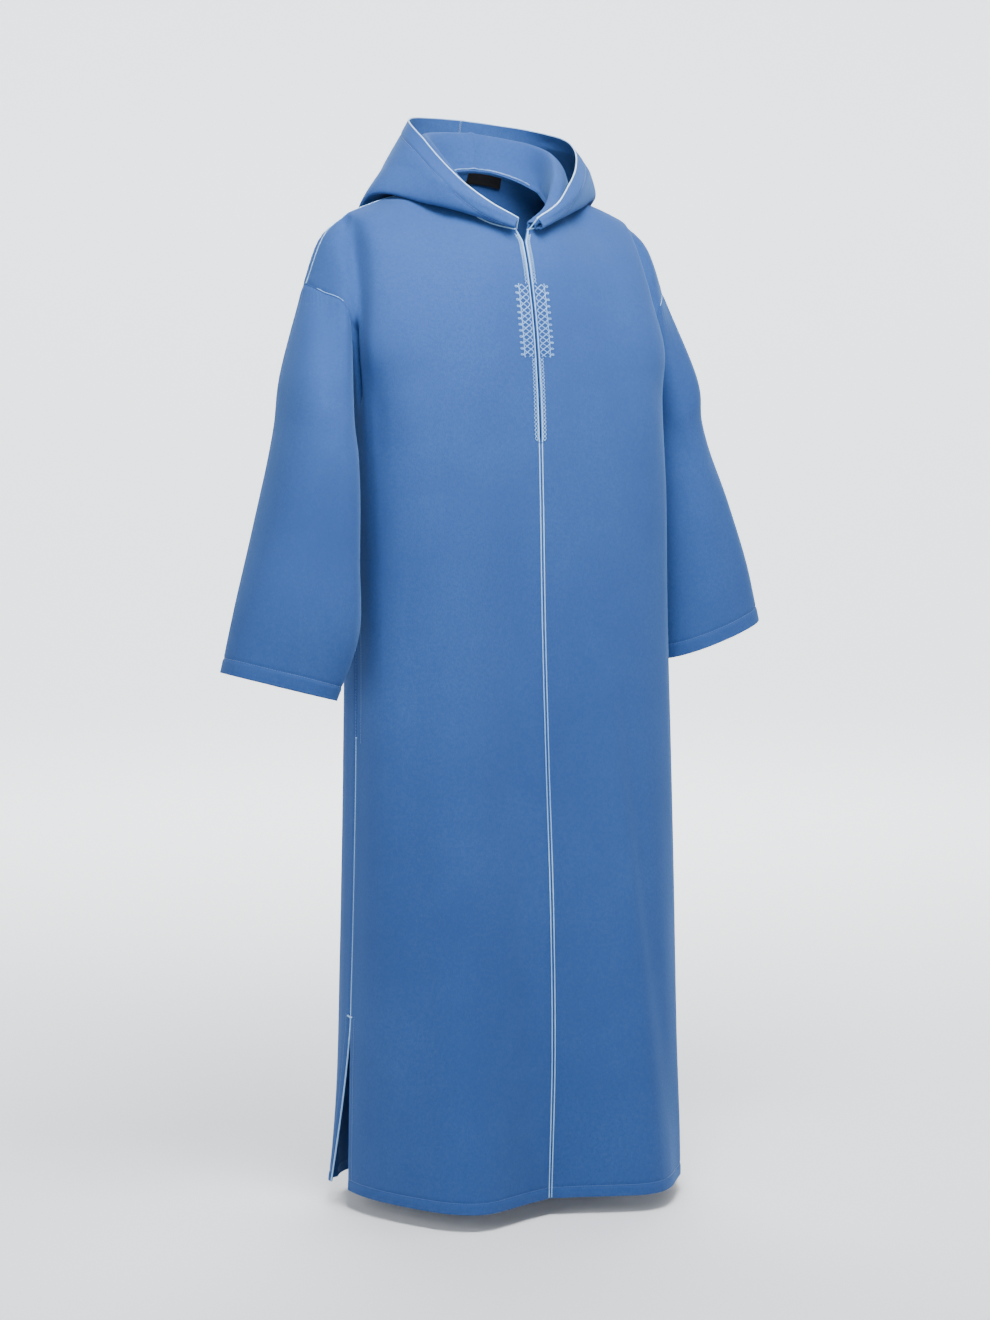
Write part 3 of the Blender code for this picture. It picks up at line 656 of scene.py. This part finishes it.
# Brushed nap: short fibres lying down the cloth, with softer clouds where the nap lies another way
def napGroup():
    group, tree, start, end = newGroup("Brushed Nap", {"Vector": "Vector", "Fibre Size": "Float"},
                                       {"Height": "Float", "Clouds": "Float"})
    scaled = tree.add("VectorMath", operation="SCALE")
    stretch = tree.add("Mapping", dict(Scale=(1.0, 1.0, 0.35)))
    fibre = tree.add("TexNoise", dict(Scale=900.0, Detail=4.0, Roughness=0.62, Distortion=0.6))
    felt = tree.add("TexNoise", dict(Scale=230.0, Detail=3.0, Roughness=0.55))
    clouds = tree.add("TexNoise", dict(Scale=13.0, Detail=5.0, Roughness=0.55, Distortion=0.4))
    mixed = tree.add("Math", operation="MULTIPLY_ADD")
    mixed.inputs[1].default_value = 0.55
    tree.join((start, "Vector", scaled, 0), (start, "Fibre Size", scaled, "Scale"),
              (scaled, "Vector", stretch), (stretch, "Vector", fibre),
              (scaled, "Vector", felt), (start, "Vector", clouds),
              (felt, "Fac", mixed, 0), (fibre, "Fac", mixed, 2), (mixed, "Value", end, "Height"),
              (clouds, "Fac", end, "Clouds"))
    return group


# Uneven dye and light handling: broad drifts and small specks, as one mask
def dyeGroup():
    group, tree, start, end = newGroup("Uneven Dye", {"Vector": "Vector"}, {"Mask": "Float"})
    broad = tree.add("TexNoise", dict(Scale=4.5, Detail=3.0, Roughness=0.5))
    speck = tree.add("TexNoise", dict(Scale=420.0, Detail=2.0, Roughness=0.7))
    mixed = tree.add("Math", operation="MULTIPLY_ADD")
    mixed.inputs[1].default_value = 0.30
    ramp = tree.add("MapRange", dict(From_Min=0.45, From_Max=0.90))
    tree.join((start, "Vector", broad), (start, "Vector", speck),
              (speck, "Fac", mixed, 0), (broad, "Fac", mixed, 2), (mixed, "Value", ramp, "Value"),
              (ramp, "Result", end, "Mask"))
    return group


brushedNap, unevenDye = napGroup(), dyeGroup()
clothLook = {
    "deep": (38, 64, 113),
    "clear": (43, 72, 122),
    "napLight": (56, 91, 146),
    # painted shade for the low spots of the nap
    "napShade": (26, 58, 112),
    "sheen": 0.22,
    "sheenRoughness": 0.42,
    "sheenTint": (120, 170, 230),
    "roughness": 0.92,
    "specular": 0.18,
    "bump": 0.55,
    "napDepth": 0.00045,
    "fibreSize": 1.0,
}


def clothMaterial():
    material, tree, shader, place = newMaterial("Brushed Blue Wool")
    nap = tree.add("Group", node_tree=brushedNap)
    setInputs(nap, Fibre_Size=clothLook["fibreSize"])
    dye = tree.add("Group", node_tree=unevenDye)
    cloudy = tree.add("MapRange", dict(From_Min=0.40, From_Max=0.75, To_Max=0.10))
    # Painted shade: where the nap's bump is low, the colour darkens towards the nap shade colour
    napHollowShade = tree.add("MapRange", dict(From_Min=0.66, From_Max=0.92, To_Min=0.55, To_Max=0.0))
    tree.join((place, "Object", nap), (place, "Object", dye),
              (nap, "Clouds", cloudy, "Value"), (nap, "Height", napHollowShade, "Value"))
    base = tree.blend(dye.outputs["Mask"], clothLook["deep"], clothLook["clear"])
    tone = tree.blend(cloudy.outputs["Result"], base, clothLook["napLight"])
    # The cloth's colour with the painted shade in the nap's low spots
    worn = tree.blend(napHollowShade.outputs["Result"], tone, clothLook["napShade"])
    tree.links.new(worn, shader.inputs["Base Color"])
    tree.bump(shader, nap.outputs["Height"], clothLook["bump"], clothLook["napDepth"])
    setInputs(shader, Roughness=clothLook["roughness"], Sheen_Weight=clothLook["sheen"],
              Sheen_Roughness=clothLook["sheenRoughness"], Sheen_Tint=linearColor(*clothLook["sheenTint"]),
              Specular_IOR_Level=clothLook["specular"])
    return material


braidLook = {"roughness": 0.34, "sheen": 0.25, "specular": 0.55, "bump": 0.5, "threadDepth": 0.00012}
# The light and the shaded colour of each thread: a random dye drifts between them, and the shaded one is also
# the painted shade in the grooves between the threads
threadColors = {
    "Pale Satin Braid": ((150, 192, 230), (92, 142, 202)),
    "White Satin Cord": ((182, 210, 236), (120, 164, 212)),
    "Pale Neck Tape": ((96, 138, 194), (80, 122, 180)),
    "Blue Sewing Thread": ((58, 94, 150), (40, 72, 124)),
}


# Satin thread, wound round the cord: fine slanting lines, with painted shade in the grooves between them that
# leaves the crowns brighter
def braidMaterial(name):
    light, shade = threadColors[name]
    material, tree, shader, place = newMaterial(name)
    dye = tree.add("Group", node_tree=unevenDye)
    turned = tree.add("Mapping", dict(Rotation=(0.5, 0.6, 0.2)))
    thread = tree.add("TexWave", dict(Scale=620.0, Distortion=1.2, Detail=1.0),
                      bands_direction="DIAGONAL")
    # painted shade in the low grooves of the thread's bump
    threadGrooveShade = tree.add("MapRange", dict(From_Max=0.5, To_Min=0.35, To_Max=0.0))
    tree.join((place, "Object", dye), (place, "Object", turned),
              (turned, "Vector", thread), (thread, "Fac", threadGrooveShade, "Value"))
    base = tree.blend(dye.outputs["Mask"], shade, light)
    # The thread's colour with the painted shade in its grooves
    grooveShadedThread = tree.blend(threadGrooveShade.outputs["Result"], base, shade)
    tree.links.new(grooveShadedThread, shader.inputs["Base Color"])
    tree.bump(shader, thread.outputs["Fac"], braidLook["bump"], braidLook["threadDepth"])
    setInputs(shader, Roughness=braidLook["roughness"], Sheen_Weight=braidLook["sheen"],
              Specular_IOR_Level=braidLook["specular"])
    return material


labelLook = {
    "dark": (5, 5, 8),
    "light": (12, 13, 17),
    "fibreSize": 1.6,
    "roughness": 0.75,
    "specular": 0.2,
    "bump": 0.5,
    "ribDepth": 0.0001,
}


def labelMaterial():
    material, tree, shader, place = newMaterial("Woven Dark Label")
    dye = tree.add("Group", node_tree=unevenDye)
    nap = tree.add("Group", node_tree=brushedNap)
    setInputs(nap, Fibre_Size=labelLook["fibreSize"])
    rib = tree.add("TexWave", dict(Scale=700.0), bands_direction="Z")
    high = tree.add("Math", operation="ADD")
    tree.join(*((place, "Object", node) for node in (dye, nap, rib)))
    tree.join((rib, "Fac", high, 0), (nap, "Height", high, 1))
    tone = tree.blend(dye.outputs["Mask"], labelLook["dark"], labelLook["light"])
    tree.links.new(tone, shader.inputs["Base Color"])
    tree.bump(shader, high.outputs["Value"], labelLook["bump"], labelLook["ribDepth"])
    setInputs(shader, Roughness=labelLook["roughness"], Specular_IOR_Level=labelLook["specular"])
    return material


floorLook = {
    "dark": (232, 235, 238),
    "light": (236, 239, 242),
    "roughness": 0.7,
    "glow": 1.05,             # how bright the far floor is of itself, as an evenly lit sweep
    "glowFrom": 0.9,
    "glowTo": 5.0,
    "glowColor": (234, 236, 240),
}


def floorMaterial():
    material, tree, shader, place = newMaterial("Pale Studio Floor")
    grain = tree.add("TexNoise", dict(Scale=3.0, Detail=4.0))
    far = tree.add("VectorMath", operation="LENGTH")
    glow = tree.add("MapRange", interpolation_type="SMOOTHSTEP")
    setInputs(glow, From_Min=floorLook["glowFrom"], From_Max=floorLook["glowTo"], To_Max=floorLook["glow"])
    tree.join((place, "Object", grain), (place, "Object", far, 0), (far, "Value", glow, "Value"),
              (glow, "Result", shader, "Emission Strength"))
    tone = tree.blend(grain.outputs["Fac"], floorLook["dark"], floorLook["light"])
    tree.links.new(tone, shader.inputs["Base Color"])
    setInputs(shader, Roughness=floorLook["roughness"], Emission_Color=linearColor(*floorLook["glowColor"]))
    return material


wool = clothMaterial()
satin, whiteCord, paleTape, thread = (braidMaterial(name) for name in threadColors)
woven = labelMaterial()
print("materials made")


# The seven cut pieces, worn and without folds
grids = {}
for word, side in (("right", -1), ("left", 1)):
    grids["front_" + word] = halfPanel(side, True)
    grids["back_" + word] = halfPanel(side, False)
    shareSideSeam(grids["front_" + word], grids["back_" + word])
    grids["sleeve_" + word] = sleeveGrid(side, grids["front_" + word], grids["back_" + word])
    grids["hood_" + word] = hoodGrid(side, grids["front_" + word], grids["back_" + word])
backRight, backLeft = grids.pop("back_right"), grids.pop("back_left")
grids["back"] = np.concatenate([backRight[:, ::-1], backLeft[:, 1:]], axis=1)

# By kind: how far in its stitching runs, its sewn sides, those with puckers, and whether it is a tube
pieceKinds = {
    "front": (0.015, ("top", "start", "end"), ("top",), False),
    "back": (0.015, ("top", "start", "end"), ("top",), False),
    "sleeve": (0.020, ("top",), ("top",), True),
    "hood": (0.022, ("top", "end"), ("top", "end"), False),
}
# The pieces, and whether each one's outer side is flipped
flipped = {"front_right": False, "front_left": True, "back": False, "sleeve_right": True,
           "sleeve_left": False, "hood_right": True, "hood_left": False}
kindOf = {name: pieceKinds[name.split("_")[0]] for name in flipped}
normals = sharedNormals({name: (grids[name], flipped[name], kindOf[name][3]) for name in flipped})
print("cloth cut and worn")

surface = {}
for name, (inset, sewn, puckered, closed) in kindOf.items():
    grid, out = grids[name], normals[name]
    dip = dict(sewing["dip"])
    if name == "back":
        dip["start"] = dip["end"]
    edgeLift = foldLift(grid)
    lift = edgeLift + seamRelief(grid, sewn, closed, puckered, inset, dip)
    # At the seams themselves the lift must match the piece on the other side
    for side in sewn:
        edge = gridSides[side][0]
        lift[edge] = edgeLift[edge] - dip[side]
    worn = grid + out * lift[..., None]
    outer = worn + out * robe["clothThickness"] / 2
    inner = worn - out * robe["clothThickness"] / 2
    surface[name] = (outer, out)
    piece = makeWall("wool_" + name, drawBack(outer, sewn), drawBack(inner, sewn), wool, closed)
    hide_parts(name)
    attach(piece, "root")
    ring = closeRound(grid) if closed else grid
    widths = norm(np.diff(ring, axis=1), axis=2).sum(axis=1)
    lengths = norm(np.diff(ring, axis=0), axis=2).sum(axis=0)
    crosses = np.cross(ring[1:, 1:] - ring[:-1, :-1], ring[1:, :-1] - ring[:-1, 1:])
    cutArea = float(norm(crosses, axis=2).sum() / 2)


# Sewn trims: cords, worked braid, stitches and the label, each on the cloth it is sewn to
trims = {
    "cordPlace": 0.0023,        # from the centre front
    "edgePlace": 0.0021,
    "edgeTop": 0.004,           # depths down the front
    "picotTop": 0.016,
    "panelTop": 0.130,
    "panelBottom": 0.236,
    "picots": {"inner": 0.0032, "outer": 0.0080, "period": 0.0112, "strands": 2, "radius": 0.00038},
    "lattice": {"inner": 0.0042, "outer": 0.0195, "period": 0.0265, "strands": 3, "radius": 0.00056},
    "loops": {"count": 12, "place": 0.0218, "size": 0.0030, "radius": 0.00055},
    "slitInset": 0.014,
    "pocket": (0.605, 0.765),   # the opening's depths
    "pocketInset": 0.018,
    "armholeShown": (0.30, 0.62),
}
# Each cord's step along its path, radius, number of sides and the length of one twist
cords = {
    "front": (0.0011, 0.00078, 8, 0.0042),
    "slit edge": (0.0011, 0.0009, 8, 0.0046),
    "hood edge": (0.0012, 0.0010, 8, 0.005),
    "shoulder": (0.0014, 0.00064, 7, 0.004),
    "neck": (0.0014, 0.00092, 7, 0.004),
    "side edge": (0.0013, 0.0011, 8, 0.0044),
    "side seam": (0.0014, 0.00064, 6, 0.004),
    "side tack": (0.001, 0.0011, 7, None),
    "armhole seam": (0.0016, 0.00096, 6, 0.006),
    "armhole": (0.0014, 0.00044, 6, 0.003),
    "pocket edge": (0.0015, 0.0011, 7, None),
    "pocket tack": (0.0008, 0.0008, 6, 0.0012),
    "neck tape": (0.002, 0.0010, 7, 0.005),
}


def cord(kind, path):
    step, radius, sides, twist = cords[kind]
    return tubeArrays(evenPath(path, step), radius, sides, twist)


# One piece from several closed shapes, in place of a node if it has one
def finishTrim(name, shapes, material, node=None):
    points, faces, start = [], [], 0
    for shapePoints, shapeFaces in shapes:
        points.append(shapePoints)
        faces.extend([[corner + start for corner in face] for face in shapeFaces])
        start += len(shapePoints)
    piece = meshPiece(name, np.concatenate(points), faces, material)
    if node:
        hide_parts(node)
    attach(piece, "root")


# A thread laid on the cloth through depths, distances and lifts
def laidThread(reader, depths, distances, lifts, radius):
    path = [reader.at(*spot) for spot in zip(depths, distances, lifts)]
    return tubeArrays(np.array(path), radius, 5)


# A thread that runs down the panel in small round loops
def loopedThread(reader, top, bottom, count, place, size, radius):
    pitch = (bottom - top) / count
    turns = int((bottom - top) / pitch)
    t = np.linspace(0, 2 * math.pi * turns, turns * 11)
    depth = top + pitch * t / (2 * math.pi) + size * np.sin(t)
    return laidThread(reader, depth, place - size * np.cos(t), 0.0006 + 0.0003 * np.sin(t + 0.8), radius)


# Strands that cross each other on the slant, one over and one under
def latticeThreads(reader, top, bottom, inner, outer, period, strands, radius):
    shapes = []
    steps = int((bottom - top) / period * 16)
    for strand in range(strands):
        t = np.linspace(0, (bottom - top) / period, steps) + strand / strands
        swing = 2 * np.abs(2 * (t - np.floor(t + 0.5))) - 1
        swing = np.sin(swing * math.pi / 2) * 0.35 + swing * 0.65
        distance = (inner + outer) / 2 + (outer - inner) / 2 * swing
        lift = 0.0007 + 0.00035 * np.sin(t * 2 * math.pi * 3 + strand * math.pi)
        shapes.append(laidThread(reader, np.linspace(top, bottom, steps), distance, lift, radius))
    return shapes


readers = {"back_right": PanelReader(*surface["back"]), "back_left": PanelReader(*surface["back"], last=True)}
for word in ("right", "left"):
    readers["front_" + word] = PanelReader(*surface["front_" + word])
    readers["side_" + word] = PanelReader(*surface["front_" + word], last=True)
slitEnd, sideTop = robe["slitEnd"], robe["sideSlitTop"]
top, bottom = trims["panelTop"], trims["panelBottom"]
for word in ("right", "left"):
    reader = readers["front_" + word]
    cordPath = reader.line(slitEnd + 0.003, hemDepth - 0.001, trims["cordPlace"], 0.0005)
    finishTrim("front_cord_" + word, [cord("front", cordPath)], satin, "braid_front_" + word)
    edgePath = reader.line(trims["edgeTop"], slitEnd + 0.002, trims["edgePlace"], 0.0006, 0.002)
    hoodEnd = surface["hood_" + word][0][-1, 0]
    edge = [cord("slit edge", np.concatenate([[hoodEnd], edgePath]))]
    for start, end in ((trims["picotTop"], top - 0.001), (bottom + 0.001, slitEnd)):
        edge += latticeThreads(reader, start, end, **trims["picots"])
    finishTrim("slit_braid_" + word, edge, satin, "slit_edge_" + word)
    worked = latticeThreads(reader, top + 0.001, bottom - 0.001, **trims["lattice"])
    worked.append(loopedThread(reader, top, bottom, **trims["loops"]))
    finishTrim("worked_braid_" + word, worked, satin, "worked_panel_" + word)
print("front braids worked")

for word in ("right", "left"):
    # The hood's face edge: a round cord just beyond the cloth
    outer, out = surface["hood_" + word]
    middle = outer[-1] - out[-1] * robe["clothThickness"] / 2
    beyond = outer[-1] - outer[-2]
    beyond /= norm(beyond, axis=1, keepdims=True)
    cordPath = middle + beyond * cords["hood edge"][1] * 0.8
    finishTrim("hood_cord_" + word, [cord("hood edge", cordPath)], whiteCord, "hood_edge_" + word)
    # The shoulder seam, and the neck seam between hood and body
    outer, out = surface["front_" + word]
    steps = robe["neckFrontSteps"]
    shoulder = outer[0, steps:] - out[0, steps:] * 0.0001
    finishTrim("shoulder_piping_" + word, [cord("shoulder", shoulder)], satin, "shoulder_cord_" + word)
    neck = outer[0, :steps // 2] + out[0, :steps // 2] * 0.0007
    finishTrim("neck_piping_" + word, [cord("neck", neck)], satin)
    # The side slit's back edge, and the piped side seam above it with its tack
    reader = readers["back_" + word]
    edgePath = reader.line(sideTop, hemDepth - 0.001, 0.0, 0.0)
    finishTrim("side_cord_" + word, [cord("side edge", edgePath)], satin, "side_edge_" + word)
    seam = reader.line(underarm + 0.01, sideTop, 0.0, 0.0004)
    tack = [reader.at(sideTop - 0.002, 0.007, 0.0006), reader.at(sideTop - 0.001, 0.0, 0.0014),
            readers["side_" + word].at(sideTop - 0.002, 0.008, 0.0006)]
    finishTrim("side_piping_" + word, [cord("side seam", seam), cord("side tack", tack)], satin)
    # The armhole's corded seam
    outer, out = (np.concatenate([part[0], part[0, :1]]) for part in surface["sleeve_" + word])
    loop = outer + out * 0.0002
    finishTrim("armhole_seam_" + word, [cord("armhole seam", loop)], wool)
    first, last = (int(share * robe["armholeSteps"]) for share in trims["armholeShown"])
    shown = loop[first:last] + np.array([0, 0, 0.0013])
    finishTrim("armhole_piping_" + word, [cord("armhole", shown)], satin)
print("cords and piping laid")


# A line that keeps its distance from a panel's last row, such as a hem's stitching
def insetLine(name, distance, lift, closed=False):
    outer, out = surface[name]
    length = walked(outer, 0)
    path = []
    for column in range(outer.shape[1]):
        wanted = length[-1, column] - distance
        spots = outer[:, column] + out[:, column] * lift
        path.append([np.interp(wanted, length[:, column], spots[:, axis]) for axis in range(3)])
    path = np.array(path)
    return np.concatenate([path, path[:1]]) if closed else path


for name, (inset, sewn, puckered, closed) in kindOf.items():
    stitches = stitchShapes(insetLine(name, inset, -0.0001, closed))
    finishTrim("stitches_" + name, stitches, thread)

for word in ("right", "left"):
    # The side slit's two rows of stitching, and the pocket opening in the side seam
    side = readers["side_" + word]
    first, last = trims["pocket"]
    shapes = []
    for reader in (side, readers["back_" + word]):
        shapes += stitchShapes(reader.line(sideTop - 0.004, hemDepth - 0.012, trims["slitInset"], 0.0001))
    shapes += stitchShapes(side.line(first - 0.005, last + 0.010, trims["pocketInset"], 0.0001))
    finishTrim("side_stitches_" + word, shapes, thread)
    pocketEdge = side.line(first, last, 0.0032, 0.0004)
    finishTrim("pocket_edge_" + word, [cord("pocket edge", pocketEdge)], wool)
    tacks = [[side.at(depth, far, 0.0005) for far in (0.0, 0.003, 0.006)]
             for depth in (first - 0.001, last + 0.001)]
    finishTrim("pocket_tacks_" + word, [cord("pocket tack", tack) for tack in tacks], satin)
print("stitching laid")

# The hood's centre back: zigzag stitches on the outer layer's inner face, down from the face edge
zigzag = {"points": 26, "step": 0.0016, "swing": 0.0016, "radius": 0.00035, "lift": 0.0006}
outer, out = surface["hood_right"]
inside = outer[:, -1] - out[:, -1] * (robe["clothThickness"] + zigzag["lift"])
places = evenPath(inside[::-1], zigzag["step"])[:zigzag["points"]]
swung = [place + np.array([zigzag["swing"] * (-1) ** step, 0, 0]) for step, place in enumerate(places)]
finishTrim("hood_zigzag", [tubeArrays(swung, zigzag["radius"], 5)], satin)

# The light tape over the back neck seam
tapeLift, tapeFrom = 0.0009, robe["neckFrontSteps"] + 3
tapeShapes = []
for word in ("right", "left"):
    outer, out = surface["hood_" + word]
    seamRow = outer[1] - out[1] * (robe["clothThickness"] + tapeLift)
    tapeShapes.append(cord("neck tape", seamRow[tapeFrom:]))
finishTrim("neck_tape", tapeShapes, paleTape)
print("neck finished")

# The neck label is plain, and stays as it is in the solids
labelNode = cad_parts["neck_label"]
labelNode.data.materials.clear()
labelNode.data.materials.append(woven)


# Floor, light and camera: a wide pale floor that turns up far away on every side
floorShape = {
    "height": -1.42,
    "flatRings": (0.5, 1.5, 3.0, 4.5, 6.0, 7.0),
    "bend": 2.0,              # radius of the turn into the wall
    "bendSteps": 8,
    "wallHeight": 3.2,
    "sides": 64,
}
rings = [(radius, 0.0) for radius in floorShape["flatRings"]]
for step in range(1, floorShape["bendSteps"] + 1):
    angle = step * math.pi / 2 / floorShape["bendSteps"]
    rings.append((floorShape["flatRings"][-1] + floorShape["bend"] * math.sin(angle),
                  floorShape["bend"] * (1 - math.cos(angle))))
rings.append((rings[-1][0], floorShape["wallHeight"]))
sides = floorShape["sides"]
turns = [2 * math.pi * step / sides for step in range(sides)]
floorPoints = [(radius * math.cos(turn), radius * math.sin(turn), floorShape["height"] + rise)
               for radius, rise in rings for turn in turns]
index = np.arange(len(floorPoints)).reshape(-1, sides)
floorFaces = [*skinOf(closeRound(index))[:, ::-1].tolist(), list(range(sides))]
floorMesh = bpy.data.meshes.new("studio_floor")
floorMesh.from_pydata(floorPoints, [], floorFaces)
floorMesh.shade_smooth()
floorMesh.materials.append(floorMaterial())
addToScene("studio_floor", floorMesh)

studio = {"world": (0.80, 0.84, 0.90, 1.0), "worldStrength": 0.28}
world = bpy.data.worlds.new("soft studio")
world.use_nodes = True
setInputs(world.node_tree.nodes["Background"], Color=studio["world"], Strength=studio["worldStrength"])
bpy.context.scene.world = world

# Each lamp's place, aim, size and power
lamps = {
    "high front": ((-0.25, -0.98, 0.82), (-0.03, 0.0, -0.05), 0.8, 78.0),
    "high left": ((1.9, -0.9, 1.4), (0.0, 0.0, -0.3), 1.2, 18.0),
    "low right": ((-3.0, -1.8, 0.6), (0.0, 0.0, -0.4), 1.6, 44.0),
    "backdrop": ((1.6, 3.0, 2.8), (1.9, 4.6, -1.4), 3.6, 520.0),
}
for name, (place, aim, size, power) in lamps.items():
    data = bpy.data.lights.new(name, "AREA")
    data.energy = power
    data.size = size
    lamp = addToScene(name, data)
    lamp.location = place
    lamp.visible_camera = False
    way = Vector(aim) - Vector(place)
    lamp.rotation_euler = way.to_track_quat("-Z", "Y").to_euler()

cameraData = bpy.data.cameras.new("camera")
cameraData.sensor_fit = "VERTICAL"
cameraData.sensor_height = 36
cameraData.lens = 86.4
cameraData.shift_y = -0.197
camera = addToScene("camera", cameraData)
camera.location = (-1.973, -4.045, -0.30)
camera.rotation_euler = (math.radians(90), 0, math.radians(-26))
bpy.context.scene.camera = camera

print("scene finished")
